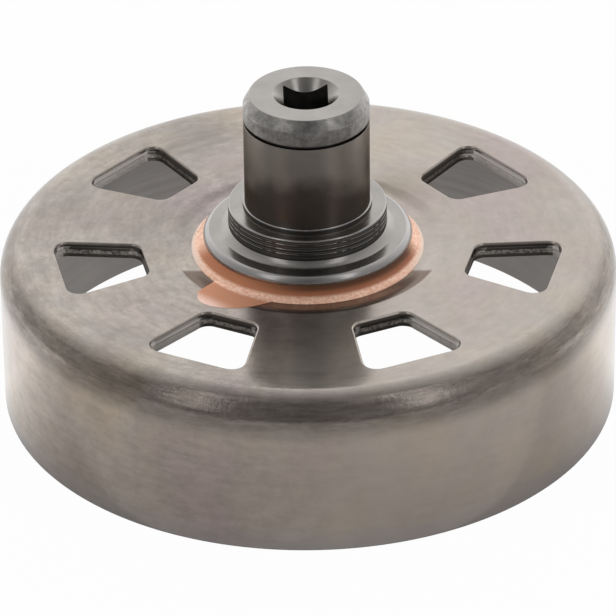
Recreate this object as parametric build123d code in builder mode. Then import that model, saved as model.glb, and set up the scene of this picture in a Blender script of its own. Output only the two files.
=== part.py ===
"""Clutch drum of a brush cutter: a drawn steel cup with a turned hub stub brazed into its base.

Millimetres. The origin is the centre of the open rim, which lies on z = 0. The hub points along +Z.
"""
import math
import os

from build123d import *

# Drum cup: drawn from sheet, its wall turned inside to the friction diameter
friction_diameter = 80.0
wall_thickness = 2.0
base_thickness = 2.2
cup_height = 22.75
bend_inner_radius = 2.0
rim_break = 0.4

# Windows pierced in the base: radii to their straight inner and outer edges
window_count = 7
window_inner_radius = 22.5
window_outer_radius = 34.1
window_inner_width = 8.4
window_outer_width = 14.9
window_corner_radius = 2.0
window_edge_roll = 0.5
first_window_angle = 90.0

# Hub stub: diameters
spigot_diameter = 20.0
flange_diameter = 28.4
collar_diameter = 21.5
base_ring_diameter = 17.5
journal_diameter = 17.0
groove_diameter = 16.2
head_face_diameter = 15.3

# Hub stub: heights
flange_thickness = 2.3
collar_height = 3.8
base_ring_height = 0.55
stub_height = 22.75
head_height = 3.5
groove_width = 0.5
spigot_stick_out = 0.6

# Hub stub: edges and fits
head_chamfer_angle = 30.0
base_ring_break = 0.15
collar_break = 0.2
collar_fillet = 0.8
flange_break = 0.5
spigot_chamfer = 0.5
spigot_clearance = 0.05

# Square socket for the drive shaft, broached into a drilled pilot hole with a conical mouth
socket_across_flats = 6.0
socket_corner_radius = 0.25
socket_depth = 20.0
socket_turn = 3.0
pilot_diameter = 5.7
pilot_depth = 23.0
mouth_diameter = 9.0
mouth_angle = 90.0

# Braze: a bead that climbs the flange, slopes out over the drum and has one tongue that ran out further
braze_climb = 1.1
braze_film = 0.1
bead_shoulder_width = 0.6
bead_shoulder_height = 0.65
foot_diameter = 33.0
foot_edge = 0.1
tongue_radius = 5.0
tongue_reach = 19.7
tongue_angle = 237.0

# Levels above the rim's plane
base_underside = cup_height - base_thickness
spigot_end = base_underside - spigot_stick_out
flange_top = cup_height + flange_thickness
collar_top = flange_top + collar_height
base_ring_top = collar_top + base_ring_height
hub_top = cup_height + stub_height
head_underside = hub_top - head_height
journal_top = head_underside - groove_width
chamfer_width = (journal_diameter - head_face_diameter) / 2
chamfer_bottom = hub_top - chamfer_width / math.tan(math.radians(head_chamfer_angle))

os.makedirs("parts", exist_ok=True)


def corner(section, diameter, level):
    """The vertex of a half section that is nearest to a corner given by its diameter and level."""
    return section.vertices().sort_by_distance((diameter / 2, level))[0]


# Drum cup: half section of the drawn shell, turned about the axis, with the windows pierced through its base
drum_diameter = friction_diameter + 2 * wall_thickness
centre_hole_diameter = spigot_diameter + 2 * spigot_clearance

with BuildPart() as drum_cup:
    with BuildSketch(Plane.XZ) as shell:
        with BuildLine():
            Polyline(
                (centre_hole_diameter / 2, base_underside),
                (friction_diameter / 2, base_underside),
                (friction_diameter / 2, 0),
                (drum_diameter / 2, 0),
                (drum_diameter / 2, cup_height),
                (centre_hole_diameter / 2, cup_height),
                close=True,
            )
        make_face()
        fillet(corner(shell, friction_diameter, base_underside), radius=bend_inner_radius)
        fillet(corner(shell, drum_diameter, cup_height), radius=bend_inner_radius + wall_thickness)
        chamfer(shell.vertices().group_by(Axis.Y)[0], length=rim_break)
    revolve(axis=Axis.Z)

    with BuildSketch(Plane.XY.offset(base_underside)) as windows:
        with PolarLocations(0, window_count, start_angle=first_window_angle):
            Polygon(
                (window_inner_radius, -window_inner_width / 2),
                (window_outer_radius, -window_outer_width / 2),
                (window_outer_radius, window_outer_width / 2),
                (window_inner_radius, window_inner_width / 2),
                align=None,
            )
        fillet(windows.vertices(), radius=window_corner_radius)
    extrude(amount=base_thickness, mode=Mode.SUBTRACT)
    # The punch draws the sheet down into a sloped lip all round each window's upper edge
    chamfer(drum_cup.edges(Select.LAST).group_by(Axis.Z)[-1], length=window_edge_roll)

drum_cup.part.label = "drum_cup"
export_step(drum_cup.part, "parts/drum_cup.step")

# Drive hub: one turned half section from the spigot's end to the head, then the socket from above
with BuildPart() as drive_hub:
    with BuildSketch(Plane.XZ) as stub:
        with BuildLine():
            Polyline(
                (0, spigot_end),
                (spigot_diameter / 2, spigot_end),
                (spigot_diameter / 2, cup_height),
                (flange_diameter / 2, cup_height),
                (flange_diameter / 2, flange_top),
                (collar_diameter / 2, flange_top),
                (collar_diameter / 2, collar_top),
                (base_ring_diameter / 2, collar_top),
                (base_ring_diameter / 2, base_ring_top),
                (journal_diameter / 2, base_ring_top),
                (journal_diameter / 2, journal_top),
                (groove_diameter / 2, journal_top),
                (groove_diameter / 2, head_underside),
                (journal_diameter / 2, head_underside),
                (journal_diameter / 2, chamfer_bottom),
                (head_face_diameter / 2, hub_top),
                (0, hub_top),
                close=True,
            )
        make_face()
        chamfer(corner(stub, spigot_diameter, spigot_end), length=spigot_chamfer)
        chamfer(corner(stub, flange_diameter, flange_top), length=flange_break)
        fillet(corner(stub, collar_diameter, flange_top), radius=collar_fillet)
        chamfer(corner(stub, collar_diameter, collar_top), length=collar_break)
        chamfer(corner(stub, base_ring_diameter, base_ring_top), length=base_ring_break)
    revolve(axis=Axis.Z)

    with Locations((0, 0, hub_top)):
        CounterSinkHole(
            radius=pilot_diameter / 2,
            counter_sink_radius=mouth_diameter / 2,
            depth=pilot_depth,
            counter_sink_angle=mouth_angle,
        )
    with BuildSketch(Plane.XY.offset(hub_top)) as socket:
        Rectangle(socket_across_flats, socket_across_flats, rotation=socket_turn)
        fillet(socket.vertices(), radius=socket_corner_radius)
    extrude(amount=-socket_depth, mode=Mode.SUBTRACT)

drive_hub.part.label = "drive_hub"
export_step(drive_hub.part, "parts/drive_hub.step")

# Braze ring: steep against the flange, then sloped out over the drum, and the tongue of spilt copper
braze_top = cup_height + braze_climb
flange_radius = flange_diameter / 2

with BuildPart() as braze_ring:
    with BuildSketch(Plane.XZ):
        with BuildLine():
            Polyline(
                (flange_radius, cup_height),
                (flange_radius, braze_top),
                (flange_radius + braze_film, braze_top),
                (flange_radius + bead_shoulder_width, cup_height + bead_shoulder_height),
                (foot_diameter / 2, cup_height + foot_edge),
                (foot_diameter / 2, cup_height),
                close=True,
            )
        make_face()
    revolve(axis=Axis.Z)

    with BuildSketch(Plane.XY.offset(cup_height)):
        with PolarLocations(tongue_reach - tongue_radius, 1, start_angle=tongue_angle):
            Circle(tongue_radius)
        Circle(flange_radius, mode=Mode.SUBTRACT)
    extrude(amount=foot_edge)

braze_ring.part.label = "braze_ring"
export_step(braze_ring.part, "parts/braze_ring.step")
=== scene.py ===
# %% [markdown]
# # A clutch drum in Blender
# This lesson dresses one spare part of a garden machine: a steel cup with seven windows, a turned hub stub
# that carries a ball bearing, and the copper that joins them. The imported CAD model is the frame. It gives
# the sizes and the place of everything, so the first cell loads it.

# %% Load the imported model
import math

import bmesh
import bpy
from mathutils import Matrix, Vector


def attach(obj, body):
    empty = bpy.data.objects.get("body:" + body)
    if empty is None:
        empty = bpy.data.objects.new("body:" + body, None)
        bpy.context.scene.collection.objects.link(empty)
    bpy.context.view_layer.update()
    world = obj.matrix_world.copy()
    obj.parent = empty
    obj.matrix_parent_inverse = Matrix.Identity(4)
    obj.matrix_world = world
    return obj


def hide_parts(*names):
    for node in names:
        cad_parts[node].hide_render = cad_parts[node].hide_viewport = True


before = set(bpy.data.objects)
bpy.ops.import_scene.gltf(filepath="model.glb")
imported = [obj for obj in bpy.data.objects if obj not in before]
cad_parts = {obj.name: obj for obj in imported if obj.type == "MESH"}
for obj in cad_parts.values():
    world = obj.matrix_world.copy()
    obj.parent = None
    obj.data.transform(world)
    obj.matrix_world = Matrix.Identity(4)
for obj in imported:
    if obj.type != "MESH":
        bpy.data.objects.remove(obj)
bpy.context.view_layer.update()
MM = 0.001
print("nodes:", sorted(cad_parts))

# %% [markdown]
# ## Camera
# The camera comes first, because every later choice is judged through it. Its place was fitted to the
# photograph: a long lens, about 31 degrees above the table and almost straight in front. A camera looks
# along its own -Z, so its matrix has the direction to the right, the direction up and the direction back
# to the eye as its three columns.

# %% Camera
CAMERA_TURN = math.radians(1.19)
CAMERA_RISE = math.radians(31.13)
CAMERA_ROLL = math.radians(-0.72)
CAMERA_DISTANCE = 695.7 * MM
CAMERA_TARGET = Vector((-0.09, 0, 11.96)) * MM
FOCAL_PIXELS = 5075
IMAGE_PIXELS = 616
SENSOR_WIDTH = 36
NEAR_CLIP = 0.05

to_eye = Vector((
    math.sin(CAMERA_TURN) * math.cos(CAMERA_RISE),
    -math.cos(CAMERA_TURN) * math.cos(CAMERA_RISE),
    math.sin(CAMERA_RISE),
))
level_right = Vector((math.cos(CAMERA_TURN), math.sin(CAMERA_TURN), 0))
level_up = to_eye.cross(level_right)
right = level_right * math.cos(CAMERA_ROLL) + level_up * math.sin(CAMERA_ROLL)
up = level_up * math.cos(CAMERA_ROLL) - level_right * math.sin(CAMERA_ROLL)

bpy.ops.object.select_all(action="DESELECT")
bpy.ops.object.camera_add()
camera = bpy.context.object
camera.matrix_world = (
    Matrix.Translation(CAMERA_TARGET + to_eye * CAMERA_DISTANCE)
    @ Matrix((right, up, to_eye)).transposed().to_4x4()
)
camera.data.sensor_width = SENSOR_WIDTH
camera.data.lens = SENSOR_WIDTH * FOCAL_PIXELS / IMAGE_PIXELS
camera.data.clip_start = NEAR_CLIP
bpy.context.scene.camera = camera
print("lens in mm:", round(camera.data.lens, 1))

# %% [markdown]
# ## Node helpers
# Every light and finish in this lesson is a small tree of nodes. Adding a node, setting it and linking it
# takes a line each, so these helpers do it in one call. A finish then reads like a list of what it is made
# of.

# %% Node helpers
def start_tree(owner):
    """The node tree of a world or a material, emptied."""
    owner.use_nodes = True
    owner.node_tree.nodes.clear()
    return owner.node_tree


def add_node(tree, kind, **settings):
    """A new node, with its properties set by name and its unlinked inputs by socket name."""
    node = tree.nodes.new(kind)
    for name, value in settings.items():
        if hasattr(node, name):
            setattr(node, name, value)
        else:
            node.inputs[name.replace("_", " ")].default_value = value
    return node


def join(tree, source, target):
    """Link an output to an input. A whole node stands for its first output."""
    output = source.outputs[0] if isinstance(source, bpy.types.Node) else source
    tree.links.new(output, target)


def add_ramp(tree, factor, stops):
    """A colour ramp over a factor. Each stop is a position and a grey level or a colour."""
    ramp = add_node(tree, "ShaderNodeValToRGB")
    elements = ramp.color_ramp.elements
    while len(elements) < len(stops):
        elements.new(0.5)
    for element, (position, level) in zip(elements, stops):
        element.position = position
        element.color = (*level, 1) if isinstance(level, tuple) else (level, level, level, 1)
    join(tree, factor, ramp.inputs["Fac"])
    return ramp


def add_math(tree, operation, *values):
    """A maths node whose inputs are numbers, outputs or nodes."""
    node = add_node(tree, "ShaderNodeMath", operation=operation)
    for value, socket in zip(values, node.inputs):
        if isinstance(value, (int, float)):
            socket.default_value = value
        else:
            join(tree, value, socket)
    return node


def add_vector(tree, operation, first, second=None):
    """A vector maths node: its number for a length, distance or dot product, and its vector otherwise."""
    node = add_node(tree, "ShaderNodeVectorMath", operation=operation)
    join(tree, first, node.inputs[0])
    if isinstance(second, (tuple, Vector)):
        node.inputs[1].default_value = second
    elif second is not None:
        join(tree, second, node.inputs[1])
    gives_number = operation in ("LENGTH", "DISTANCE", "DOT_PRODUCT")
    return node.outputs["Value" if gives_number else "Vector"]


print("node helpers are ready")

# %% [markdown]
# ## Studio
# Metal shows its surroundings more than its own colour, so the studio matters as much as the finish. The
# part stood in a white tent that was open towards the camera: bright behind and at the sides, dark in
# front. The world makes that tent, because it needs no mesh. It reads the direction of each ray, goes from
# dark to white along Y and adds a little towards both sides.

# %% World
TENT_LEVELS = [
    (0.0, 0.10), (0.12, 0.11), (0.3, 0.15), (0.5, 0.20), (0.6, 0.31), (0.66, 0.39), (0.72, 0.47), (0.8, 0.6),
    (0.865, 0.78), (0.93, 1.0), (1.0, 1.0),
]
SIDE_LEVELS = [(0.08, 0.0), (0.35, 0.09), (0.7, 0.16)]

world = bpy.data.worlds.new("white tent")
bpy.context.scene.world = world
tree = start_tree(world)
axes = add_node(tree, "ShaderNodeSeparateXYZ")
join(tree, add_node(tree, "ShaderNodeTexCoord").outputs["Generated"], axes.inputs[0])
to_back = add_math(tree, "MULTIPLY_ADD", axes.outputs["Y"], 0.5, 0.5)
tent = add_ramp(tree, to_back, TENT_LEVELS)
sides = add_ramp(tree, add_math(tree, "ABSOLUTE", axes.outputs["X"]), SIDE_LEVELS)
background = add_node(tree, "ShaderNodeBackground", Strength=1.0)
join(tree, add_vector(tree, "ADD", tent, sides), background.inputs["Color"])
join(tree, background, add_node(tree, "ShaderNodeOutputWorld").inputs["Surface"])
bpy.context.scene.view_settings.view_transform = "Standard"
print("tent levels from the front to the back:", [level for _, level in TENT_LEVELS])

# %% [markdown]
# ## Floor
# The floor is a plain pale sheet under the rim. The wall of the drum is a mirror for it. For glossy rays the
# floor glows, which is painted light: the share of white glow that glossy rays see grows from front to back,
# along a direction that is turned a little, so the wall mirrors white behind and beside the drum and dark in
# front. The inside of the wall mirrors the floor under the drum, which has a ramp of its own with less
# glow, a painted shadow under the drum.

# %% What the metal mirrors of the floor
FLOOR_RADIUS = 2.5
MIRROR_SPAN = 0.2
BACK_DIRECTION = Vector((-0.06, 1, 0))
MIRRORED_GLOW_SHARES = [(0.3, 0.02), (0.37, 0.03), (0.415, 0.18), (0.465, 0.53), (0.51, 1.0)]
PAINTED_SHADOW_SHARES = [(0.34, 0.05), (0.4, 0.75)]
COVERED_RADIUS = 41 * MM

bpy.ops.object.select_all(action="DESELECT")
bpy.ops.mesh.primitive_circle_add(vertices=96, radius=FLOOR_RADIUS, fill_type="NGON")
floor = bpy.context.object
floor.name = "floor"
paper = bpy.data.materials.new("pale floor")
tree = start_tree(paper)
spot = add_node(tree, "ShaderNodeTexCoord").outputs["Object"]
towards_back = add_vector(tree, "DOT_PRODUCT", spot, BACK_DIRECTION / MIRROR_SPAN)
backwards = add_math(tree, "ADD", towards_back, 0.5)
uncovered = add_math(tree, "GREATER_THAN", add_vector(tree, "LENGTH", spot), COVERED_RADIUS)
# Painted light: the glow that glossy rays see on the floor, with a painted shadow under the drum.
painted_glow_share = add_node(tree, "ShaderNodeMix")
join(tree, uncovered, painted_glow_share.inputs["Factor"])
join(tree, add_ramp(tree, backwards, PAINTED_SHADOW_SHARES), painted_glow_share.inputs["A"])
join(tree, add_ramp(tree, backwards, MIRRORED_GLOW_SHARES), painted_glow_share.inputs["B"])
print("white shares that the wall mirrors:", [share for _, share in MIRRORED_GLOW_SHARES])

# %% [markdown]
# ## Floor: white ground
# Seen by the camera the floor is lifted towards white, by Light Path, so that the picture gets its white
# ground without more light on the metal. A small part of its own shading stays, and with it the soft
# shadow under the drum. The same blend takes the share for glossy rays from the last cell.

# %% Floor shader
FLOOR_WHITE_SHARE = 0.98
FLOOR_GREY, FLOOR_WHITE = (0.36, 0.36, 0.36, 1), (1, 1, 1, 1)

rays = add_node(tree, "ShaderNodeLightPath")
seen = add_math(tree, "MAXIMUM", rays.outputs["Is Camera Ray"], rays.outputs["Is Transmission Ray"])
mirrored = add_math(tree, "MULTIPLY", rays.outputs["Is Glossy Ray"], painted_glow_share)
share = add_math(tree, "MULTIPLY_ADD", seen, FLOOR_WHITE_SHARE, mirrored)
lit = add_node(tree, "ShaderNodeBsdfDiffuse", Color=FLOOR_GREY)
white = add_node(tree, "ShaderNodeEmission", Color=FLOOR_WHITE, Strength=1.0)
blend = add_node(tree, "ShaderNodeMixShader")
for source, socket in zip((share, lit, white), blend.inputs):
    join(tree, source, socket)
join(tree, blend, add_node(tree, "ShaderNodeOutputMaterial").inputs["Surface"])
paper.cycles.emission_sampling = "NONE"
floor.data.materials.append(paper)
print("floor:", [round(v, 2) for v in floor.dimensions])

# %% [markdown]
# ## Lamps
# Four lamps light the floor: a large one behind the part, one above it and a low one on each side. The
# drum throws soft shadows from them, and its wall mirrors those as slanted bands. They are hidden from
# glossy rays, so that the metal shows the tent and the lit floor, and not the lamps' own squares. Two long
# strip lights lean in from the front, one on each side, and nearly meet overhead. They are seen in the
# metal, as the pair of soft lights on every edge that faces the camera.

# %% Lamps
LAMP_DISTANCE = 1.1
HIDDEN_LAMPS = [
    ("back lamp", (180, 14), (180, 54), 0.8, 6),
    ("top lamp", (0, 70), (180, 70), 0.8, 0.4),
    ("left lamp", (-68, 13), (-68, 25), 0.06, 8),
    ("right lamp", (68, 13), (68, 25), 0.06, 8),
]
STRIP_LIGHTS = [
    ("left strip", (-37, 10), (-98, 76), 0.24, 0.7),
    ("right strip", (41, 10), (102, 76), 0.24, 0.7),
]


def bearing(turn, rise):
    """The direction to a place in the studio. The turn runs rightwards from the camera."""
    turn, rise = math.radians(turn), math.radians(rise)
    return Vector((math.sin(turn) * math.cos(rise), -math.cos(turn) * math.cos(rise), math.sin(rise)))


def add_lamp(name, low_end, high_end, width, watts):
    """A rectangular lamp that faces the part, from one direction to another."""
    low, high = bearing(*low_end), bearing(*high_end)
    facing = (low + high).normalized()
    along = (high - low).normalized()
    across = along.cross(facing)
    bpy.ops.object.select_all(action="DESELECT")
    bpy.ops.object.light_add(type="AREA")
    lamp = bpy.context.object
    lamp.name = name
    turned = Matrix((across, along, facing)).transposed().to_4x4()
    lamp.matrix_world = Matrix.Translation(facing * LAMP_DISTANCE) @ turned
    lamp.data.shape = "RECTANGLE"
    lamp.data.size = width
    lamp.data.size_y = (high - low).length * LAMP_DISTANCE
    lamp.data.energy = watts
    return lamp


for settings in HIDDEN_LAMPS:
    add_lamp(*settings).visible_glossy = False
for settings in STRIP_LIGHTS:
    add_lamp(*settings)

# %% [markdown]
# ## Turning a piece
# All three pieces are round. A round piece is quickest by Spin: draw half its section as a wire and turn
# the wire about Z. The wire starts from a plane that is merged to a single vertex, and that vertex is
# extruded from corner to corner. Most bends are left sharp in the wire and rounded afterwards, by
# bevelling the ring of edges at each corner. The pieces are modelled at one unit a millimetre, so that the
# numbers read like a drawing, and each is shrunk to metres at its end.

# %% Turning helpers
TOUCH = 0.005
MERGE = 0.001


def start_wire(name):
    """A new object in edit mode that holds a single selected vertex at the origin."""
    bpy.ops.object.select_all(action="DESELECT")
    bpy.ops.mesh.primitive_plane_add(size=1)
    piece = bpy.context.object
    piece.name = piece.data.name = name
    bpy.ops.object.mode_set(mode="EDIT")
    bpy.ops.mesh.select_mode(type="VERT")
    bpy.ops.mesh.select_all(action="SELECT")
    bpy.ops.mesh.merge(type="CENTER")
    return piece


def draw_wire(section):
    """Lead the selected vertex along a half section, given as radii and levels."""
    here = Vector((0, 0, 0))
    for number, (radius, level) in enumerate(section):
        there = Vector((radius, 0, level))
        if number == 0:
            bpy.ops.transform.translate(value=there - here)
        else:
            bpy.ops.mesh.extrude_vertices_move(TRANSFORM_OT_translate={"value": there - here})
        here = there


def spin_wire(steps):
    """Turn the wire once about Z and close the seam and the poles."""
    bpy.ops.mesh.select_all(action="SELECT")
    bpy.ops.mesh.spin(steps=steps, angle=math.tau, center=(0, 0, 0), axis=(0, 0, 1))
    bpy.ops.mesh.select_all(action="SELECT")
    bpy.ops.mesh.remove_doubles(threshold=MERGE)


def select_edges(piece, test):
    """Select the edges that pass a test, and nothing else."""
    bpy.ops.mesh.select_mode(type="EDGE")
    bpy.ops.mesh.select_all(action="DESELECT")
    mesh = bmesh.from_edit_mesh(piece.data)
    for edge in mesh.edges:
        edge.select_set(test(edge))
    bmesh.update_edit_mesh(piece.data)


def bevel_ring(piece, radius, level, width, segments):
    """Round or break the ring of edges at one radius and level."""
    def on_ring(edge):
        ends = [(v.co.to_2d().length, v.co.z) for v in edge.verts]
        return all(abs(r - radius) < TOUCH and abs(z - level) < TOUCH for r, z in ends)

    select_edges(piece, on_ring)
    bpy.ops.mesh.bevel(offset=width, segments=segments, affect="EDGES")


print("corners count as the same within", MERGE, "mm")

# %% [markdown]
# ## Drum cup: the shell
# The cup was drawn from sheet steel, so its wall and its base are one skin with a round bend between them.
# Only the wall, the bend and the outer edge of the base are turned here. The rest of the base is flat and
# full of windows, and a grid of turned faces would be in their way.

# %% Drum shell
FRICTION_RADIUS = 40.0
DRUM_RADIUS = 42.0
CUP_TOP = 22.75
BASE_UNDERSIDE = 20.55
BASE_THICKNESS = CUP_TOP - BASE_UNDERSIDE
PLATE_RADIUS = 36.0
OUTER_BEND, INNER_BEND = 4.0, 2.0
RIM_BREAK = 0.4
DRUM_STEPS = 252

drum = start_wire("drum_cup_skin")
draw_wire([
    (PLATE_RADIUS, CUP_TOP), (DRUM_RADIUS, CUP_TOP), (DRUM_RADIUS, 0),
    (FRICTION_RADIUS, 0), (FRICTION_RADIUS, BASE_UNDERSIDE), (PLATE_RADIUS, BASE_UNDERSIDE),
])
spin_wire(DRUM_STEPS)
for radius, level, width, segments in (
    (DRUM_RADIUS, CUP_TOP, OUTER_BEND, 12), (FRICTION_RADIUS, BASE_UNDERSIDE, INNER_BEND, 6),
    (DRUM_RADIUS, 0, RIM_BREAK, 3), (FRICTION_RADIUS, 0, RIM_BREAK, 2),
):
    bevel_ring(drum, radius, level, width, segments)
print("shell vertices:", len(bmesh.from_edit_mesh(drum.data).verts))

# %% [markdown]
# ## Drum cup: one window's outline
# Seven windows are pierced in the base. Cutting them with a Boolean would leave long thin faces all over
# the base, so one window is modelled as the skin of its hole instead. A plane is shaped into the outline
# at the top of the window's lip, and its corners are rounded by a bevel on their vertices.

# %% One window
WINDOW_INNER, WINDOW_OUTER = 22.5, 34.1
INNER_WIDTH, OUTER_WIDTH = 8.4, 14.9
WINDOW_CORNER = 2.0
CORNER_STEPS = 8
LIP_RADIUS = 0.3
NEAR = 0.1

slope = math.atan((OUTER_WIDTH - INNER_WIDTH) / 2 / (WINDOW_OUTER - WINDOW_INNER))
lip_inner = WINDOW_INNER - LIP_RADIUS
lip_outer = WINDOW_OUTER + LIP_RADIUS
lip_length = lip_outer - lip_inner
lip_middle = (lip_inner + lip_outer) / 2


def half_width(radius):
    """Half the width of the outline at the top of the lip, at one distance from the axis."""
    cut = INNER_WIDTH / 2 + (radius - WINDOW_INNER) * math.tan(slope)
    return cut + LIP_RADIUS / math.cos(slope)


def select_vertices(piece, test):
    """Select the vertices that pass a test, and the edges and faces between them."""
    bpy.ops.mesh.select_mode(type="VERT")
    bpy.ops.mesh.select_all(action="DESELECT")
    mesh = bmesh.from_edit_mesh(piece.data)
    for vertex in mesh.verts:
        vertex.select_set(test(vertex))
    mesh.select_flush(True)
    bmesh.update_edit_mesh(piece.data)


bpy.ops.mesh.primitive_plane_add(size=lip_length, location=(0, lip_middle, CUP_TOP))
for end, lean in ((lip_inner, slope / 2), (lip_outer, -slope / 2)):
    select_vertices(drum, lambda v: len(v.link_faces) == 1 and abs(v.co.y - end) < NEAR)
    stretch = 2 * half_width(end) / lip_length
    bpy.ops.transform.resize(value=(stretch, 1, 1), center_override=(0, 0, 0))
    tangent = (WINDOW_CORNER + LIP_RADIUS) / math.tan(math.pi / 4 + lean)
    bpy.ops.mesh.bevel(offset=tangent, segments=CORNER_STEPS, affect="VERTICES")
print("outline half widths in mm:", round(half_width(lip_inner), 2), round(half_width(lip_outer), 2))

# %% [markdown]
# ## Drum cup: lip and bands of a window
# The punch first draws the sheet down into a rounded lip, then cuts a smooth band, and at last the metal
# breaks and leaves a rough, slightly wider band below. Inset leads the outline down round the lip in small
# steps, and Extrude makes the two bands. The sheet that still closes the window is deleted at the end.

# %% Lip and bands
LIP_STEPS = 4
CUT_BAND = 0.75
BREAK_STEP = 0.12
BREAK_FLARE = 1.012

bpy.ops.mesh.select_mode(type="FACE")
bpy.ops.mesh.select_all(action="DESELECT")
mesh = bmesh.from_edit_mesh(drum.data)
max(mesh.faces, key=lambda face: len(face.verts)).select_set(True)
bmesh.update_edit_mesh(drum.data)
for step in range(LIP_STEPS):
    before = math.pi / 2 * step / LIP_STEPS
    after = math.pi / 2 * (step + 1) / LIP_STEPS
    inward = LIP_RADIUS * (math.sin(after) - math.sin(before))
    down = LIP_RADIUS * (math.cos(before) - math.cos(after))
    bpy.ops.mesh.inset(thickness=inward, depth=-down)
break_band = BASE_THICKNESS - LIP_RADIUS - CUT_BAND
window_centre = (0, (WINDOW_INNER + WINDOW_OUTER) / 2, 0)
for drop, flare in ((CUT_BAND, 1.0), (BREAK_STEP, BREAK_FLARE), (break_band - BREAK_STEP, 1.0)):
    bpy.ops.mesh.extrude_region_move(TRANSFORM_OT_translate={"value": (0, 0, -drop)})
    bpy.ops.transform.resize(value=(flare, flare, 1), center_override=window_centre)
bpy.ops.mesh.delete(type="ONLY_FACE")
print("smooth and torn band in mm:", CUT_BAND, round(break_band, 2))

# %% [markdown]
# ## Drum cup: seven windows
# The windows are alike and stand evenly round the axis. Spin can also make copies instead of a turned
# skin, so the one window is selected, by being the only thing inside the turned part of the base, and set
# six times more.

# %% Seven windows
WINDOW_COUNT = 7

select_vertices(drum, lambda v: v.co.to_2d().length < PLATE_RADIUS - NEAR)
bpy.ops.mesh.spin(
    steps=WINDOW_COUNT - 1, dupli=True, angle=math.tau * (WINDOW_COUNT - 1) / WINDOW_COUNT,
    center=(0, 0, 0), axis=(0, 0, 1),
)
print("vertices with the windows:", len(bmesh.from_edit_mesh(drum.data).verts))

# %% [markdown]
# ## Drum cup: the base
# The base is flat, so its two faces need no grid of their own. A short tube makes the hole for the hub,
# and Fill spans the open rings above and below, round the windows.

# %% Fill the base
SPIGOT_HOLE = 10.05

bpy.ops.mesh.primitive_cylinder_add(
    vertices=DRUM_STEPS, radius=SPIGOT_HOLE, depth=BASE_THICKNESS, end_fill_type="NOTHING",
    location=(0, 0, (CUP_TOP + BASE_UNDERSIDE) / 2),
)
for level in (CUP_TOP, BASE_UNDERSIDE):
    select_edges(drum, lambda e: e.is_boundary and all(abs(v.co.z - level) < TOUCH for v in e.verts))
    bpy.ops.mesh.fill(use_beauty=True)
mesh = bmesh.from_edit_mesh(drum.data)
print("open edges left in the drum:", sum(not edge.is_manifold for edge in mesh.edges))

# %% [markdown]
# ## Drum cup: smooth shading
# A flat face that shares its vertices with a bend would look dented, because smooth shading mixes their
# normals. Weighted normals keep the flat faces flat, and edges sharper than an angle stay sharp. The same
# helper finishes the other two pieces.

# %% Finish the drum's mesh
def finish_mesh(piece, crease_degrees):
    """Point the faces outwards, shrink millimetres to metres, smooth the shading and keep flat faces flat."""
    bpy.ops.mesh.select_all(action="SELECT")
    bpy.ops.mesh.remove_doubles(threshold=MERGE)
    bpy.ops.mesh.normals_make_consistent(inside=False)
    bpy.ops.transform.resize(value=(MM, MM, MM), center_override=(0, 0, 0))
    bpy.ops.object.mode_set(mode="OBJECT")
    bpy.ops.object.shade_smooth_by_angle(angle=math.radians(crease_degrees))
    weighted = piece.modifiers.new("flat faces", "WEIGHTED_NORMAL")
    weighted.keep_sharp = True
    bpy.ops.object.modifier_apply(modifier=weighted.name)
    piece.data.calc_loop_triangles()
    print(piece.name, "triangles:", len(piece.data.loop_triangles))


finish_mesh(drum, 35)
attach(drum, "root")
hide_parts("drum_cup")

# %% [markdown]
# ## Drive hub: the section
# The stub is one turned piece: a spigot that sits in the drum, a flange, a collar that the bearing rests
# against, the ground journal, a narrow groove for its retaining ring and a chamfered head. The collar was
# left as the turning tool cut it: its side carries fine grooves, and its foot sweeps out over the flange,
# flat at first and steep at the end. Both are drawn in the wire by loops.

# %% Hub sizes and the collar
SPIGOT_END = 19.95
FLANGE_TOP = 25.05
COLLAR_TOP = 28.85
RING_TOP = 29.4
JOURNAL_TOP = 41.5
HEAD_UNDERSIDE = 42.0
CHAMFER_BOTTOM = 44.03
HUB_TOP = 45.5
PILOT_END = 22.5
SPIGOT_RADIUS, SPIGOT_CHAMFER = 10.0, 0.5
FLANGE_RADIUS, COLLAR_RADIUS, RING_RADIUS, JOURNAL_RADIUS = 14.2, 10.75, 8.75, 8.5
GROOVE_RADIUS, HEAD_RADIUS, MOUTH_RADIUS, PILOT_RADIUS = 8.1, 7.65, 4.5, 2.85
FOOT_WIDTH, FOOT_RISE = 1.15, 0.7
FOOT_STEPS = 7
FLAT_SHARE, STEEP_SHARE = 0.9, 0.1
TOOL_GROOVES = 7
GROOVE_DEPTH = 0.03
LAND_SHARE, DEEPEST_SHARE = 0.7, 0.85

collar_low, collar_high = FLANGE_TOP + 1.0, COLLAR_TOP - 0.35
collar_foot = []
for step in range(FOOT_STEPS + 1):
    inwards = (1 - math.cos(math.pi * step / FOOT_STEPS)) / 2
    sweep = FLAT_SHARE * inwards ** 1.5 + STEEP_SHARE * inwards ** 8
    collar_foot.append((COLLAR_RADIUS + FOOT_WIDTH * (1 - inwards), FLANGE_TOP + FOOT_RISE * sweep))
pitch = (collar_high - collar_low) / TOOL_GROOVES
collar_side = []
for turn in range(TOOL_GROOVES):
    start = collar_low + turn * pitch
    collar_side += [
        (COLLAR_RADIUS, start), (COLLAR_RADIUS, start + pitch * LAND_SHARE),
        (COLLAR_RADIUS - GROOVE_DEPTH, start + pitch * DEEPEST_SHARE),
    ]
print("tool grooves on the collar:", TOOL_GROOVES, "with a pitch of", round(pitch, 3), "mm")

# %% [markdown]
# ## Drive hub: turning and edges
# The same Spin turns the hub. Its edges then get a narrow bevel, because an edge that catches the light
# tells the eye that it is metal. The flange has the widest one.

# %% Turn the hub
HUB_STEPS = 192
FLANGE_ROUND, COLLAR_BREAK, RING_BREAK = 1.0, 0.2, 0.15

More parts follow.
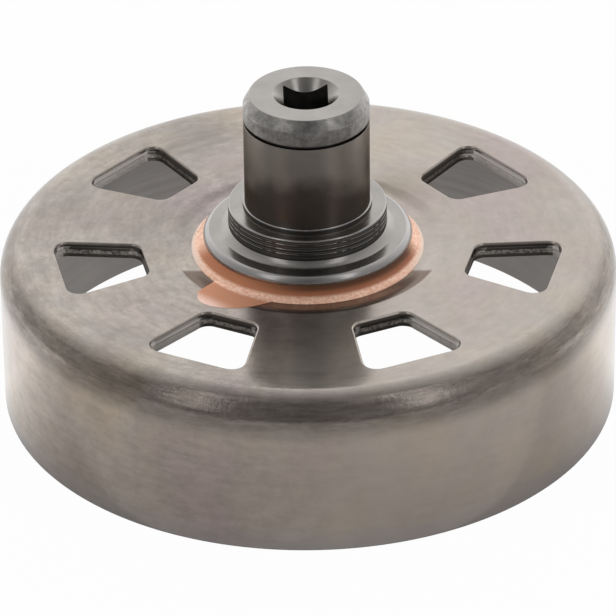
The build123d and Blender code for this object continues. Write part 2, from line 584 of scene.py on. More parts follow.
hub = start_wire("drive_hub_skin")
draw_wire(
    [(0, SPIGOT_END), (SPIGOT_RADIUS - SPIGOT_CHAMFER, SPIGOT_END)]
    + [(SPIGOT_RADIUS, SPIGOT_END + SPIGOT_CHAMFER), (SPIGOT_RADIUS, CUP_TOP)]
    + [(FLANGE_RADIUS, CUP_TOP), (FLANGE_RADIUS, FLANGE_TOP)]
    + collar_foot
    + collar_side
    + [(COLLAR_RADIUS, collar_high), (COLLAR_RADIUS, COLLAR_TOP), (RING_RADIUS, COLLAR_TOP)]
    + [(RING_RADIUS, RING_TOP), (JOURNAL_RADIUS, RING_TOP), (JOURNAL_RADIUS, JOURNAL_TOP)]
    + [(GROOVE_RADIUS, JOURNAL_TOP), (GROOVE_RADIUS, HEAD_UNDERSIDE), (JOURNAL_RADIUS, HEAD_UNDERSIDE)]
    + [(JOURNAL_RADIUS, CHAMFER_BOTTOM), (HEAD_RADIUS, HUB_TOP), (MOUTH_RADIUS, HUB_TOP)]
    + [(PILOT_RADIUS, HUB_TOP - MOUTH_RADIUS + PILOT_RADIUS), (PILOT_RADIUS, PILOT_END), (0, PILOT_END)]
)
spin_wire(HUB_STEPS)
for radius, level, width, segments in (
    (FLANGE_RADIUS, FLANGE_TOP, FLANGE_ROUND, 8), (COLLAR_RADIUS, COLLAR_TOP, COLLAR_BREAK, 3),
    (RING_RADIUS, RING_TOP, RING_BREAK, 3), (JOURNAL_RADIUS, JOURNAL_TOP, 0.06, 2),
    (JOURNAL_RADIUS, HEAD_UNDERSIDE, 0.08, 2), (JOURNAL_RADIUS, CHAMFER_BOTTOM, 0.12, 3),
    (HEAD_RADIUS, HUB_TOP, 0.1, 3), (MOUTH_RADIUS, HUB_TOP, 0.08, 2),
):
    bevel_ring(hub, radius, level, width, segments)
bpy.ops.mesh.select_all(action="SELECT")
bpy.ops.mesh.normals_make_consistent(inside=False)
bpy.ops.object.mode_set(mode="OBJECT")
print("hub vertices:", len(hub.data.vertices))

# %% [markdown]
# ## Drive hub: the square socket
# The drive shaft is square, so the hub has a square socket, broached into the drilled hole. A cube of the
# socket's size with rounded upright edges is taken away by a Boolean modifier. Where its flats meet the
# conical mouth, the curved edges of the real socket come out by themselves.

# %% Broach
SOCKET_FLATS = 6.0
SOCKET_CORNER = 0.25
SOCKET_DEPTH = 20.0
SOCKET_TURN = math.radians(3)
BROACH_OVERRUN = 2.0

broach_length = SOCKET_DEPTH + BROACH_OVERRUN
bpy.ops.object.select_all(action="DESELECT")
bpy.ops.mesh.primitive_cube_add(
    size=1, scale=(SOCKET_FLATS, SOCKET_FLATS, broach_length), rotation=(0, 0, SOCKET_TURN),
    location=(0, 0, HUB_TOP - SOCKET_DEPTH + broach_length / 2),
)
broach = bpy.context.object
bpy.ops.object.transform_apply(location=True, rotation=True, scale=True)
bpy.ops.object.mode_set(mode="EDIT")
select_edges(broach, lambda edge: abs(edge.verts[0].co.z - edge.verts[1].co.z) > 1)
bpy.ops.mesh.bevel(offset=SOCKET_CORNER, segments=4, affect="EDGES")
bpy.ops.object.mode_set(mode="OBJECT")
print("broach size:", [round(v, 2) for v in broach.dimensions])

# %% Cut the socket
bpy.ops.object.select_all(action="DESELECT")
hub.select_set(True)
bpy.context.view_layer.objects.active = hub
cut = hub.modifiers.new("broached socket", "BOOLEAN")
cut.operation = "DIFFERENCE"
cut.solver = "EXACT"
cut.object = broach
bpy.ops.object.modifier_apply(modifier=cut.name)
bpy.data.objects.remove(broach)
bpy.ops.object.mode_set(mode="EDIT")
mesh = bmesh.from_edit_mesh(hub.data)
print("open edges left in the hub:", sum(not edge.is_manifold for edge in mesh.edges))
finish_mesh(hub, 30)
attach(hub, "root")
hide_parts("drive_hub")

# %% [markdown]
# ## Braze: the bead
# Molten copper was drawn into the joint. It stands as a bead against the flange and slopes out over the
# drum. It set off centre, wider towards the camera. The bead is turned like the rest, as rings between the
# flange and a foot, on a formula for its slope. Each ring is then pushed towards the camera, the outer
# ones further.

# %% Braze bead
BEAD_CLIMB = 1.1
BEAD_FOOT = 15.8
BEAD_SHIFT = 1.15
FOOT_EDGE = 0.03
BEAD_RINGS = 14
BEAD_EVENNESS = 0.85
BRAZE_STEPS = 216

bead_width = BEAD_FOOT - FLANGE_RADIUS


def bead_height(share):
    """Height at a share of the way from flange to foot: an even slope that is steeper at both ends."""
    side = 2 * share - 1
    fall = BEAD_EVENNESS * side + (1 - BEAD_EVENNESS) * side ** 5
    return (BEAD_CLIMB + FOOT_EDGE) / 2 - (BEAD_CLIMB - FOOT_EDGE) / 2 * fall


bead_section = [(FLANGE_RADIUS, CUP_TOP)]
for number in range(BEAD_RINGS + 1):
    share = number / BEAD_RINGS
    bead_section.append((FLANGE_RADIUS + bead_width * share, CUP_TOP + bead_height(share)))
bead_section += [(BEAD_FOOT, CUP_TOP), (FLANGE_RADIUS, CUP_TOP)]

braze = start_wire("braze_ring_skin")
draw_wire(bead_section)
spin_wire(BRAZE_STEPS)
for number in range(BEAD_RINGS, 0, -1):
    ring_radius = FLANGE_RADIUS + bead_width * number / BEAD_RINGS
    select_vertices(braze, lambda v: abs(v.co.to_2d().length - ring_radius) < 2 * TOUCH)
    bpy.ops.transform.translate(value=(0, -BEAD_SHIFT * number / BEAD_RINGS, 0))
print("bead rings moved:", BEAD_RINGS)

# %% [markdown]
# ## Braze: the tongue
# At one place a tongue of copper ran further out over the drum. It could be a piece of its own, but it is
# one skin with the bead, so the edge of the bead's foot is pulled out there. Each point of the edge moves
# along its own radius, by a cosine that is longer on one side than on the other.

# %% Braze tongue
TONGUE_START, TONGUE_PEAK, TONGUE_END = 221.5, 230, 254
TONGUE_LENGTH = 4.9
START_BLUNTNESS = 1.5
SAME_ANGLE = 0.02


def angle_of(vertex):
    """The angle of a vertex round the axis, in degrees from 0 to 360."""
    return math.degrees(math.atan2(vertex.co.y, vertex.co.x)) % 360


mesh = bmesh.from_edit_mesh(braze.data)
foot_angles = sorted({
    round(angle_of(v), 2) for v in mesh.verts
    if v.co.z < CUP_TOP + FOOT_EDGE + MERGE and v.co.to_2d().length > FLANGE_RADIUS + 2 * NEAR
})
tongue_angles = [angle for angle in foot_angles if TONGUE_START < angle < TONGUE_END]
for tongue_angle in tongue_angles:
    spread = TONGUE_END - TONGUE_PEAK
    if tongue_angle <= TONGUE_PEAK:
        spread = START_BLUNTNESS * (TONGUE_PEAK - TONGUE_START)
    pull = TONGUE_LENGTH * math.cos(math.pi / 2 * (tongue_angle - TONGUE_PEAK) / spread)
    here = [v for v in mesh.verts if abs(angle_of(v) - tongue_angle) < SAME_ANGLE]
    edge_radius = max(v.co.to_2d().length for v in here) - SAME_ANGLE
    select_vertices(
        braze,
        lambda v: abs(angle_of(v) - tongue_angle) < SAME_ANGLE and v.co.to_2d().length > edge_radius,
    )
    turn = math.radians(tongue_angle)
    bpy.ops.transform.translate(value=(pull * math.cos(turn), pull * math.sin(turn), 0))
    mesh = bmesh.from_edit_mesh(braze.data)
print("tongue made from", len(tongue_angles), "points of the foot")
finish_mesh(braze, 60)
reach = max(v.co.to_2d().length for v in braze.data.vertices)
print("the copper reaches", round(reach / MM, 2), "mm from the axis")
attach(braze, "root")
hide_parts("braze_ring")

# %% [markdown]
# ## Finishes
# Every finish is one Principled metal with patterns on Object coordinates, so that they stay put when the
# part is turned. The drum has three finishes, the hub six and the copper one, because each tool left its
# own surface. A turned surface has hardly any pattern round the axis, so its noise reads the level or the
# radius alone, or coordinates that are drawn out along circles. Sizes in these helpers are in millimetres.

# %% Pattern helpers
def start_finish(name):
    """A new material with a Principled metal, and the coordinates that its patterns read."""
    finish = bpy.data.materials.new(name)
    tree = start_tree(finish)
    metal = add_node(tree, "ShaderNodeBsdfPrincipled", Metallic=1.0)
    join(tree, metal, add_node(tree, "ShaderNodeOutputMaterial").inputs["Surface"])
    place = add_node(tree, "ShaderNodeTexCoord").outputs["Object"]
    axes = add_node(tree, "ShaderNodeSeparateXYZ")
    join(tree, place, axes.inputs[0])
    radius = add_vector(tree, "LENGTH", add_vector(tree, "MULTIPLY", place, (1, 1, 0)))
    return finish, tree, metal, place, axes, radius


def add_noise(tree, place, size, detail=3.0, roughness=0.5):
    """Noise whose blotches are about one size."""
    noise = add_node(tree, "ShaderNodeTexNoise", Scale=1 / (size * MM), Detail=detail, Roughness=roughness)
    join(tree, place, noise.inputs["Vector"])
    return noise.outputs["Fac"]


def add_rings(tree, along, size):
    """Noise that changes along one coordinate only, as tool marks do."""
    noise = add_node(tree, "ShaderNodeTexNoise", noise_dimensions="1D", Scale=1 / (size * MM), Detail=2.0)
    join(tree, along, noise.inputs["W"])
    return noise.outputs["Fac"]


def add_swirl(tree, axes, radius, stretch):
    """Coordinates that run round the axis, so that a pattern on them is drawn out along circles."""
    angle = add_math(tree, "ARCTAN2", axes.outputs["Y"], axes.outputs["X"])
    along = add_math(tree, "MULTIPLY", angle, stretch * MM)
    swirl = add_node(tree, "ShaderNodeCombineXYZ")
    for source, socket in ((radius, "X"), (along, "Y"), (axes.outputs["Z"], "Z")):
        join(tree, source, swirl.inputs[socket])
    return swirl.outputs[0]


def add_distance(tree, place, x, y, level):
    """The distance from a point."""
    return add_vector(tree, "DISTANCE", place, (x * MM, y * MM, level * MM))


def span(tree, value, low, high, out_low=0.0, out_high=1.0):
    """A length mapped from one range to another, with soft ends."""
    mapped = add_node(tree, "ShaderNodeMapRange", interpolation_type="SMOOTHSTEP")
    for number, level in enumerate((low * MM, high * MM, out_low, out_high), start=1):
        mapped.inputs[number].default_value = level
    join(tree, value, mapped.inputs[0])
    return mapped.outputs[0]


print("pattern helpers are ready")

# %% [markdown]
# ## Colours, bumps and faces
# A finish has a colour, a roughness and a bump. These helpers mix them and link them to the shader. The
# last one gives a finish to some faces of a piece, chosen by their place and their normal, as one would
# pick them by hand in edit mode.

# %% Finish helpers
def add_tones(tree, pattern, dark, light, low=0.3, high=0.7):
    """A pattern shown in tones, dark where it is below low and light where it is above high."""
    return add_ramp(tree, pattern, [(low, dark), (high, light)])


def mix_colour(tree, factor, first, second, how="MIX"):
    """Two colours mixed by a factor. Each colour is an output, a node or plain numbers."""
    mix = add_node(tree, "ShaderNodeMix", data_type="RGBA", blend_type=how)
    if isinstance(factor, float):
        mix.inputs["Factor"].default_value = factor
    else:
        join(tree, factor, mix.inputs["Factor"])
    for value, socket in ((first, mix.inputs[6]), (second, mix.inputs[7])):
        if isinstance(value, tuple):
            socket.default_value = (*value, 1)
        else:
            join(tree, value, socket)
    return mix.outputs[2]


def multiply_in(tree, share, colour, other):
    """A colour multiplied by another one, as far as a share says."""
    return mix_colour(tree, share, colour, mix_colour(tree, 1.0, colour, other, "MULTIPLY"))


def add_bump(tree, height, depth, under=None):
    """Bump of a given depth, over another bump if there is one."""
    bump = add_node(tree, "ShaderNodeBump", Distance=depth * MM)
    join(tree, height, bump.inputs["Height"])
    if under is not None:
        join(tree, under, bump.inputs["Normal"])
    return bump


def dress(tree, metal, colour, roughness, relief=None):
    """Link a colour, a roughness and a bump to the shader."""
    join(tree, colour, metal.inputs["Base Color"])
    join(tree, roughness, metal.inputs["Roughness"])
    if relief is not None:
        join(tree, relief, metal.inputs["Normal"])


def give_finish(piece, finish, test):
    """Give a finish to the faces whose middle, as radius and level, and normal pass a test."""
    piece.data.materials.append(finish)
    number = len(piece.data.materials) - 1
    faces = 0
    for face in piece.data.polygons:
        middle = face.center / MM
        if test(middle.to_2d().length, middle.z, face.normal):
            face.material_index = number
            faces += 1
    print(finish.name, "on", faces, "faces of", piece.name)


print("finish helpers are ready")

# %% [markdown]
# ## Drum steel: tints and streaks
# The drum went through the brazing furnace, and the heat left faint tints of straw and pink on the steel.
# Large noise runs through those tints. Streaks along circles and small smears lie over it, more of them on
# the left. Each layer is multiplied in, as a thin film of dirt would be.

# %% Drum steel: tints and streaks
HEAT_TINTS = [
    (0.3, (0.50, 0.42, 0.405)), (0.45, (0.52, 0.46, 0.41)), (0.55, (0.53, 0.48, 0.435)),
    (0.7, (0.57, 0.495, 0.41)),
]
TOP_FADE, LEFT_FADE = (19.0, 22.0, 0.75, 1.0), (12, -14, 0.35, 0.85)

finish, tree, metal, place, axes, radius = start_finish("drawn steel")
metal.inputs["Metallic"].default_value = 0.9
across, ahead, level = axes.outputs
swirl = add_swirl(tree, axes, radius, stretch=7)
tints = add_ramp(tree, add_noise(tree, place, size=20), HEAT_TINTS)
handled = add_math(tree, "MULTIPLY", span(tree, level, *TOP_FADE), span(tree, across, *LEFT_FADE))
streaks = add_noise(tree, swirl, size=1.0, detail=7, roughness=0.75)
steel = multiply_in(tree, handled, tints, add_tones(tree, streaks, 0.72, 1.0, 0.3, 0.6))
smears = add_noise(tree, place, size=3, detail=9, roughness=0.78)
steel = multiply_in(tree, handled, steel, add_tones(tree, smears, 0.76, 1.0, 0.38, 0.58))
print("heat tints on the drum:", len(HEAT_TINTS))

# %% [markdown]
# ## Drum steel: stains
# Some patches of the top are darker with dirt, others straw or pink from the heat. Each is a soft round
# patch at its own place, broken up by noise along circles. A list holds where each one is, its size, its
# strength and its tint, so a patch can be moved without touching the nodes.

# %% Drum steel: stains
DIRT, STRAW, BLUSH = (0.27, 0.235, 0.215), (0.34, 0.29, 0.22), (0.50, 0.40, 0.385)
STAINS = [
    (-19, 4, 13, 0.75, DIRT), (-16, 27, 13, 0.8, DIRT), (-33, 10, 9, 0.5, DIRT), (-25, -28, 10, 0.5, DIRT),
    (13, 15, 8, 0.8, STRAW), (-24, 16, 8, 0.7, STRAW), (-12, 22, 7, 0.6, BLUSH), (30, 22, 9, 0.3, BLUSH),
]
THIN_SHARE = 0.35

patchy = add_noise(tree, swirl, size=2.2, detail=6, roughness=0.65)
for x, y, size, strength, tint in STAINS:
    smear = add_tones(tree, patchy, strength, strength * THIN_SHARE, 0.35, 0.62)
    patch = span(tree, add_distance(tree, place, x, y, CUP_TOP), size, 0)
    steel = mix_colour(tree, add_math(tree, "MULTIPLY", patch, smear), steel, tint)
print("stains on the drum:", len(STAINS))

# %% [markdown]
# ## Drum steel: bend, copper edge and wall
# The round bend is the first thing that rubs on other parts, so grime and small specks sit on it. In front
# of the copper a narrow brown band is painted, a painted reflection of the dark hub in the base. The wall is
# painted a little lighter than the top, a painted light that brightens its reflections, and its lowest edge
# has a touch of blue. All of it is led by the level or by the distance from the copper.

# %% Drum steel: bend, copper edge and wall
SPECK_DARK, SPECK_LIGHT = (0.50, 0.48, 0.47), (0.78, 0.76, 0.75)
HUB_REFLECTION_BROWN, PAINTED_WALL_LIGHT, BLUED = (0.40, 0.32, 0.27), (1.25, 1.21, 1.18), (0.47, 0.47, 0.51)
GRIME_BELOW, GRIME_ABOVE = (16.0, 20.0), (22.7, 21.8)
REFLECTION_EDGE, REFLECTION_FRONT = (18.4, 18.0), (-7.7, -8.5)
WALL_FADE, BLUE_FADE = (19.5, 16.5), (4.0, 0.0, 0.0, 0.4)

grime = add_math(tree, "MULTIPLY", span(tree, level, *GRIME_BELOW), span(tree, level, *GRIME_ABOVE))
specks = add_noise(tree, swirl, size=0.8, detail=8, roughness=0.8)
steel = multiply_in(tree, grime, steel, add_tones(tree, specks, SPECK_DARK, SPECK_LIGHT, 0.4, 0.6))
# Painted reflection: a brown band in front of the copper stands for the dark hub mirrored in the base.
near_copper = span(tree, add_distance(tree, place, 0, -BEAD_SHIFT, CUP_TOP), *REFLECTION_EDGE)
painted_reflection_band = add_math(tree, "MULTIPLY", near_copper, span(tree, ahead, *REFLECTION_FRONT))
steel = multiply_in(tree, painted_reflection_band, steel, HUB_REFLECTION_BROWN)
# Painted light: the wall is made lighter than the top, so that its reflections come out brighter.
steel = multiply_in(tree, span(tree, level, *WALL_FADE), steel, PAINTED_WALL_LIGHT)
steel = mix_colour(tree, span(tree, level, *BLUE_FADE), steel, BLUED)
print("the scorched band ends", REFLECTION_EDGE[0], "mm from the bead's middle")

# %% [markdown]
# ## Drum steel: gloss and relief
# The drawn skin is smooth, so it mirrors the studio softly, the top a little less clearly than the wall.
# Round the copper the base sinks by a trace, which only its reflections show, so a bump does it. Finer
# bumps add the grain of the sheet, scratches along circles, shallow dents and pits in the grime of the
# bend.

# %% Drum steel: gloss and relief
DISH_INNER, DISH_OUTER, DISH_DEPTH = 16.3, 19.2, 0.45
GLOSS_FADE = (22.0, 22.7)
GRAIN_DEPTH, SCRATCH_DEPTH, DENT_DEPTH, PIT_DEPTH = 0.006, 0.006, 0.02, 0.03

wall_gloss = add_tones(tree, add_noise(tree, place, size=5, detail=6), 0.12, 0.18)
top_gloss = add_tones(tree, add_noise(tree, place, size=9, detail=5), 0.14, 0.25)
gloss = mix_colour(tree, span(tree, level, *GLOSS_FADE), wall_gloss, top_gloss)
relief = add_bump(tree, span(tree, radius, DISH_INNER, DISH_OUTER), DISH_DEPTH)
relief = add_bump(tree, add_noise(tree, place, size=0.5), GRAIN_DEPTH, relief)
relief = add_bump(tree, add_noise(tree, swirl, size=0.35), SCRATCH_DEPTH, relief)
relief = add_bump(tree, add_noise(tree, place, size=9, detail=2), DENT_DEPTH, relief)
pits = add_math(tree, "MULTIPLY", grime, add_noise(tree, place, size=0.6, detail=4, roughness=0.7))
dress(tree, metal, steel, gloss, add_bump(tree, pits, PIT_DEPTH, relief))
give_finish(drum, finish, lambda radius, level, normal: True)

# %% [markdown]
# ## Friction face
# The clutch shoes press against the inside of the wall. It was turned, so it is duller than the drawn skin,
# with fine rings along its height. Its colour is darker too, partly the turned finish and partly painted
# shade inside the cup. Rings of noise that read the level alone give both the uneven gloss and the bump.

# %% Friction face
# Darker colours: partly the turned finish, partly painted shade inside the cup.
TURNED_AND_SHADED_DARK, TURNED_AND_SHADED_LIGHT = (0.21, 0.195, 0.185), (0.27, 0.25, 0.235)

finish, tree, metal, place, axes, radius = start_finish("friction face")
level = axes.outputs["Z"]
clouds = add_noise(tree, place, size=12, detail=4)
dress(
    tree, metal,
    add_tones(tree, clouds, TURNED_AND_SHADED_DARK, TURNED_AND_SHADED_LIGHT),
    add_tones(tree, add_rings(tree, level, size=0.8), 0.34, 0.44),
    add_bump(tree, add_rings(tree, level, size=0.22), depth=0.006),
)
bend_start = BASE_UNDERSIDE - INNER_BEND
give_finish(
    drum, finish, lambda radius, level, normal: radius < FRICTION_RADIUS + NEAR and level < bend_start + TOUCH,
)

# %% [markdown]
# ## Window edges: which way they face
# The window walls that look back to the middle from the left and the right are painted lighter than the
# others, a painted light where those walls catch more light. A shader can't tell the walls apart by place
# alone. So the mesh stores a number at each corner of each face: its place along X times its normal along
# X, which is negative on those walls. The shader reads it as an attribute.

# %% Mark the window walls
marks = drum.data.attributes.new("to_side", "FLOAT", "CORNER")
for face in drum.data.polygons:
    for corner in face.loop_indices:
        vertex = drum.data.vertices[drum.data.loops[corner].vertex_index]
        marks.data[corner].value = vertex.co.x * face.normal.x
print("corners marked on the drum:", len(marks.data))

# %% [markdown]
# ## Window edges
# Below the lip there is a smooth band with the punch's lines, then the torn band with light flecks, and the
# edge is darker at the bottom. The level tells them apart, and the mark from the last cell paints some walls
# lighter, a painted light. The torn band is also rougher, in its gloss and in its bump.

# %% Window edges
TEAR_START = CUP_TOP - LIP_RADIUS - CUT_BAND
CUT_DARK, CUT_LIGHT = (0.11, 0.10, 0.093), (0.27, 0.245, 0.225)
FLECK_DARK, FLECK_LIGHT = (0.15, 0.138, 0.128), (0.56, 0.52, 0.48)
EDGE_BOTTOM_DARK, PAINTED_LIT_WALL = (0.11, 0.10, 0.092), (0.48, 0.44, 0.41)
TEAR_FADE = (TEAR_START + 0.05, TEAR_START - 0.1)
EDGE_BOTTOM_FADE = (BASE_UNDERSIDE + 0.6, BASE_UNDERSIDE + 0.4)
LIT_WALL_FADE = (-8, -12, 0.0, 0.75)

finish, tree, metal, place, axes, radius = start_finish("pierced edge")
level = axes.outputs["Z"]
torn = span(tree, level, *TEAR_FADE)
cut_face = add_tones(tree, add_rings(tree, level, size=0.5), CUT_DARK, CUT_LIGHT, 0.44, 0.6)
flecks = add_noise(tree, place, size=0.5, detail=5, roughness=0.7)
edge = mix_colour(tree, torn, cut_face, add_tones(tree, flecks, FLECK_DARK, FLECK_LIGHT, 0.4, 0.6))
# Darker towards the bottom of the edge.
edge = mix_colour(tree, span(tree, level, *EDGE_BOTTOM_FADE), edge, EDGE_BOTTOM_DARK)
to_side = add_node(tree, "ShaderNodeAttribute", attribute_name="to_side").outputs["Fac"]
# Painted light: walls marked by to_side are made lighter, as they catch more light.
edge = mix_colour(tree, span(tree, to_side, *LIT_WALL_FADE), edge, PAINTED_LIT_WALL)
tear = add_math(tree, "MULTIPLY", add_noise(tree, place, size=0.35, detail=4, roughness=0.7), torn)
lines = add_bump(tree, add_rings(tree, level, size=0.45), depth=0.04)
gloss = add_tones(tree, torn, 0.2, 0.36, 0.0, 1.0)
dress(tree, metal, edge, gloss, add_bump(tree, tear, depth=0.09, under=lines))


def in_window(radius, level, normal):
    """True on the upright faces below the lips of the windows."""
    return radius < PLATE_RADIUS and level < CUP_TOP - LIP_RADIUS and abs(normal.z) < 0.5


give_finish(drum, finish, in_window)

# %% [markdown]
# ## Hub: turned faces
# The hub has been through several tools, and each left its own surface. Most faces are clean turned steel,
# so the whole hub gets that first and the other finishes replace it where they belong. Rings of noise
# along the level and along the radius stand for the fine feed marks of the tool.

# %% Hub: turned faces
TURNED_DARK, TURNED_LIGHT = (0.40, 0.38, 0.36), (0.48, 0.458, 0.435)
FEED = 0.25

finish, tree, metal, place, axes, radius = start_finish("turned steel")
feed_marks = add_math(
    tree, "ADD", add_rings(tree, axes.outputs["Z"], size=FEED), add_rings(tree, radius, size=FEED),
)
dress(
    tree, metal,
    add_tones(tree, add_noise(tree, place, size=5, detail=5), TURNED_DARK, TURNED_LIGHT),
    add_tones(tree, add_noise(tree, place, size=3, detail=4), 0.18, 0.28),
    add_bump(tree, feed_marks, depth=0.003),
)
give_finish(hub, finish, lambda radius, level, normal: True)

# %% [markdown]
# ## Hub: head
# The head above the groove wasn't ground. It is mottled grey, and its chamfer is lighter. Fine, rough
# noise makes the mottling, and a step in the level makes the chamfer lighter.

# %% Hub: head
MOTTLE_DARK, MOTTLE_LIGHT = (0.20, 0.19, 0.18), (0.38, 0.365, 0.35)
CHAMFER_GAIN = (1.45, 1.45, 1.45)
CHAMFER_FADE = (43.9, 44.1)

finish, tree, metal, place, axes, radius = start_finish("mottled head")
level = axes.outputs["Z"]
mottle = add_noise(tree, place, size=1.1, detail=7, roughness=0.75)
mottled = add_tones(tree, mottle, MOTTLE_DARK, MOTTLE_LIGHT, 0.36, 0.62)
on_chamfer = span(tree, level, *CHAMFER_FADE)
cuts = add_bump(tree, add_rings(tree, level, size=0.16), depth=0.006)
dress(
    tree, metal,
    multiply_in(tree, on_chamfer, mottled, CHAMFER_GAIN),
    add_tones(tree, add_noise(tree, place, size=1, detail=4), 0.28, 0.42),
    add_bump(tree, add_noise(tree, place, size=0.4), depth=0.008, under=cuts),
)


def on_head(radius, level, normal):
    """True on the side and the chamfer of the head."""
    return radius > HEAD_RADIUS - 0.05 and HEAD_UNDERSIDE < level < HUB_TOP - 0.05


give_finish(hub, finish, on_head)

# %% [markdown]
# ## Hub: ground journal
# The seat of the bearing was ground, and its lower half is painted dark, a painted reflection on the
# ground steel. The edge of that painted reflection droops away from the middle and is a little uneven, so
# the level is bent by X squared and by noise before it fades the dark in. A specular tint holds the
# glancing reflections down, a painted shade, because the seat stays dark at its sides.

# %% Hub: ground journal
GROUND_DARK, GROUND_LIGHT, PAINTED_REFLECTION_DARK = (0.31, 0.28, 0.25), (0.39, 0.355, 0.32), (0.11, 0.095, 0.085)
REFLECTION_DROOP = 0.045
REFLECTION_WAVE = 0.8 * MM
REFLECTION_FADE = (38.0, 34.6, 0.0, 0.85)
WAVE_RANGE = (300, 700, -REFLECTION_WAVE, REFLECTION_WAVE)

finish, tree, metal, place, axes, radius = start_finish("ground journal")
# Painted shade: the specular tint holds the glancing reflections down at the sides.
metal.inputs["Specular Tint"].default_value = (0.42, 0.39, 0.36, 1)
across, _, level = axes.outputs
ground = add_tones(tree, add_noise(tree, place, size=5, detail=4), GROUND_DARK, GROUND_LIGHT)
# Painted reflection: the lower half of the seat is made dark, with a drooping, uneven edge.
reflection_edge = add_math(tree, "MULTIPLY_ADD", add_math(tree, "MULTIPLY", across, across), REFLECTION_DROOP / MM, level)
reflection_edge = add_math(tree, "ADD", reflection_edge, span(tree, add_noise(tree, place, size=6), *WAVE_RANGE))
dress(
    tree, metal,
    mix_colour(tree, span(tree, reflection_edge, *REFLECTION_FADE), ground, PAINTED_REFLECTION_DARK),
    add_tones(tree, add_noise(tree, place, size=3, detail=4), 0.3, 0.4),
    add_bump(tree, add_rings(tree, level, size=0.12), depth=0.002),
)
give_finish(hub, finish, lambda radius, level, normal: radius > 8 and RING_TOP < level < JOURNAL_TOP)

# %% [markdown]
# ## Hub: collar and groove
# The side of the collar and the ring above it are dull and dark. The narrow groove below the head gets the
# same dark colour, which there is painted shade in the recess. Rings along the level vary the tone, as the
# tool's grooves do.

# %% Hub: collar and groove
DULL_AND_SHADED_DARK, DULL_AND_SHADED_LIGHT = (0.09, 0.087, 0.083), (0.2, 0.19, 0.185)

finish, tree, metal, place, axes, radius = start_finish("dull collar")
metal.inputs["Specular Tint"].default_value = (0.6, 0.58, 0.55, 1)
turns = add_rings(tree, axes.outputs["Z"], size=0.3)
dress(
    tree, metal,
    add_tones(tree, turns, DULL_AND_SHADED_DARK, DULL_AND_SHADED_LIGHT, 0.4, 0.65),
    add_tones(tree, add_noise(tree, place, size=2), 0.3, 0.4),
)


def in_dull_and_shaded_places(radius, level, normal):
    """True on the sides of the collar and of the ring above it, and in the groove below the head."""
    upright = abs(normal.z) < 0.5
    collar = radius > COLLAR_RADIUS - 0.15 and FLANGE_TOP + 0.65 < level < COLLAR_TOP - COLLAR_BREAK
    ring = radius > RING_RADIUS - RING_BREAK and COLLAR_TOP < level < RING_TOP - RING_BREAK
    # Painted shade: the groove gets the dark colour of the collar.
    groove = 8 < radius < 8.4 and JOURNAL_TOP - 0.01 < level < HEAD_UNDERSIDE + 0.01
    return upright and (collar or ring) or groove


give_finish(hub, finish, in_dull_and_shaded_places)

# %% [markdown]
# ## Hub: socket
# A broach leaves rough flats, and no light gets far into the socket, so it is nearly black in the
# photograph. A dark, rough steel on its upright faces is enough.

# %% Hub: socket
SOCKET_DARK, SOCKET_LIGHT = (0.12, 0.115, 0.11), (0.2, 0.19, 0.18)

finish, tree, metal, place, axes, radius = start_finish("broached socket")
dress(
    tree, metal,
    add_tones(tree, add_noise(tree, place, size=2), SOCKET_DARK, SOCKET_LIGHT),
    add_tones(tree, add_noise(tree, place, size=1), 0.45, 0.6),
)


def in_socket(radius, level, normal):
    """True on the upright faces inside the mouth."""
    return radius < MOUTH_RADIUS - NEAR and level < HUB_TOP - 0.2 and abs(normal.z) < 0.3


give_finish(hub, finish, in_socket)

# %% [markdown]
# ## Hub: rubbed edges
# Edges that hands and boxes touch first are rubbed bright, and their light colour is also a painted
# highlight along each edge. The bevels of the flange, the collar, the ring and the head are picked by place,
# and their noise runs along circles, so that the shine isn't spotted.

# %% Hub: rubbed edges
WORN_AND_SHEEN_DARK, WORN_AND_SHEEN_LIGHT = (0.51, 0.49, 0.48), (0.57, 0.555, 0.545)

finish, tree, metal, place, axes, radius = start_finish("rubbed edge")
swirl = add_swirl(tree, axes, radius, stretch=2)
# Wear and painted highlight: the light colour on the bevels stands for worn metal and for the line of light on
# each edge.
dress(
    tree, metal,
    add_tones(tree, add_noise(tree, swirl, size=0.4, detail=4), WORN_AND_SHEEN_DARK, WORN_AND_SHEEN_LIGHT),
    add_tones(tree, add_noise(tree, swirl, size=0.5), 0.2, 0.28),
    add_bump(tree, add_rings(tree, radius, size=0.16), depth=0.006),
)


def on_edge(radius, level, normal):
    """True on the bevels of the flange, of the collar, of the ring above it and of the head's lower edge."""
    sloped = 0.1 < normal.z < 0.99
    collar = radius > COLLAR_RADIUS - COLLAR_BREAK and COLLAR_TOP - COLLAR_BREAK < level < COLLAR_TOP
    ring = RING_RADIUS - RING_BREAK < radius < RING_RADIUS and RING_TOP - RING_BREAK < level < RING_TOP
    flange = radius > FLANGE_RADIUS - FLANGE_ROUND and FLANGE_TOP - FLANGE_ROUND < level < FLANGE_TOP
    head = radius > JOURNAL_RADIUS - NEAR and HEAD_UNDERSIDE < level < HEAD_UNDERSIDE + NEAR
    return sloped and (collar or ring or flange) or head


give_finish(hub, finish, on_edge)

# %% [markdown]
# ## Copper: bead and tongue
# Copper from the furnace is pale pink with a fine, rough grain. The tongue is a thinner, smoother and
# browner spill that turns pale again at its tip, partly a thin film and partly a painted highlight.
# Distance from the shifted middle of the bead tells the tongue from the bead.

# %% Copper: bead and tongue
GRAIN_DARK, GRAIN_LIGHT = (0.76, 0.37, 0.24), (1.0, 0.70, 0.54)
SPILL_BROWN, SPILL_PALE_AND_SHEEN = (0.62, 0.29, 0.17), (0.96, 0.68, 0.58)
TONGUE_FADE = (15.7, 16.3)
TIP_OUTWARD, TIP_LEFT = (19.2, 21.4), (-8, -13)

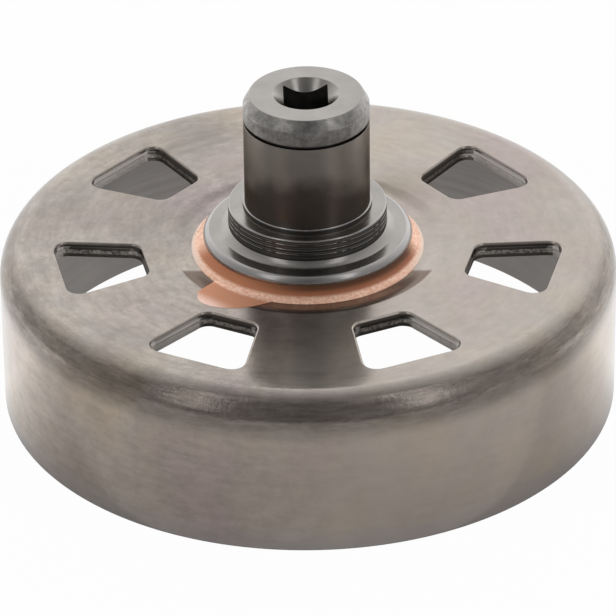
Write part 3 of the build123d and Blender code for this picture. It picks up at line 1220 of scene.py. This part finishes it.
finish, tree, metal, place, axes, radius = start_finish("braze copper")
metal.inputs["Metallic"].default_value = 0.65
across, ahead, level = axes.outputs
grains = add_noise(tree, place, size=0.5, detail=8, roughness=0.8)
bead = add_tones(tree, grains, GRAIN_DARK, GRAIN_LIGHT, 0.38, 0.6)
tongue = span(tree, add_distance(tree, place, 0, -BEAD_SHIFT, CUP_TOP), *TONGUE_FADE)
# Thin film and painted highlight: the tip of the tongue is made pale.
at_tip = add_math(tree, "MULTIPLY", span(tree, radius, *TIP_OUTWARD), span(tree, across, *TIP_LEFT))
copper = mix_colour(tree, tongue, bead, mix_colour(tree, at_tip, SPILL_BROWN, SPILL_PALE_AND_SHEEN))
print("bead and tongue have", len(tree.nodes), "nodes so far")

# %% [markdown]
# ## Copper: the steep part and the foot
# Close to the flange the bead is steep, and there the copper in front is painted deep red, a painted shade
# and reflection of the dark flange, and painted black towards the right, a painted shadow in the crevice at
# the flange. At the back the foot is only a pale film on the steel, painted paler as a painted sheen of the
# bright tent. Each is faded in by the level above the base and by the side of the hub that it is on.

# %% Copper: the steep part and the foot
SHADED_RED_RIGHT, SHADED_RED_LEFT = (0.36, 0.135, 0.07), (0.46, 0.18, 0.09)
PALE_FILM_AND_SHEEN, CREVICE_SHADOW = (0.80, 0.64, 0.54), (0.12, 0.05, 0.025)
STEEP_FADE = (CUP_TOP + 0.36, CUP_TOP + 0.6)
FOOT_FADE = (CUP_TOP + 0.6, CUP_TOP + 0.1)
FLANGE_FADE = (CUP_TOP + 0.6, CUP_TOP + 0.95)

in_front = span(tree, ahead, -1.5, -6)
steep = add_math(tree, "MULTIPLY", in_front, span(tree, level, *STEEP_FADE))
# Painted shade and reflection: the steep copper in front is made deep red.
red = mix_colour(tree, span(tree, across, 10, -10), SHADED_RED_RIGHT, SHADED_RED_LEFT)
copper = mix_colour(tree, steep, copper, red)
# Thin film and painted sheen: the low foot at the sides and back is made pale, as if mirroring the bright
# tent.
film = add_math(tree, "MULTIPLY", span(tree, ahead, -10, -5), span(tree, level, *FOOT_FADE))
copper = mix_colour(tree, film, copper, PALE_FILM_AND_SHEEN)
# Painted shadow: the copper close to the flange is made black towards the right, in the crevice.
painted_dark = add_math(tree, "MULTIPLY", span(tree, across, -9, 1), span(tree, level, *FLANGE_FADE))
copper = mix_colour(tree, add_math(tree, "MULTIPLY", in_front, painted_dark), copper, CREVICE_SHADOW)
gloss = add_tones(tree, tongue, 0.36, 0.5, 0.0, 1.0)
grit = add_noise(tree, place, size=0.35, roughness=0.6)
dress(tree, metal, copper, gloss, add_bump(tree, grit, depth=0.05))
give_finish(braze, finish, lambda radius, level, normal: True)
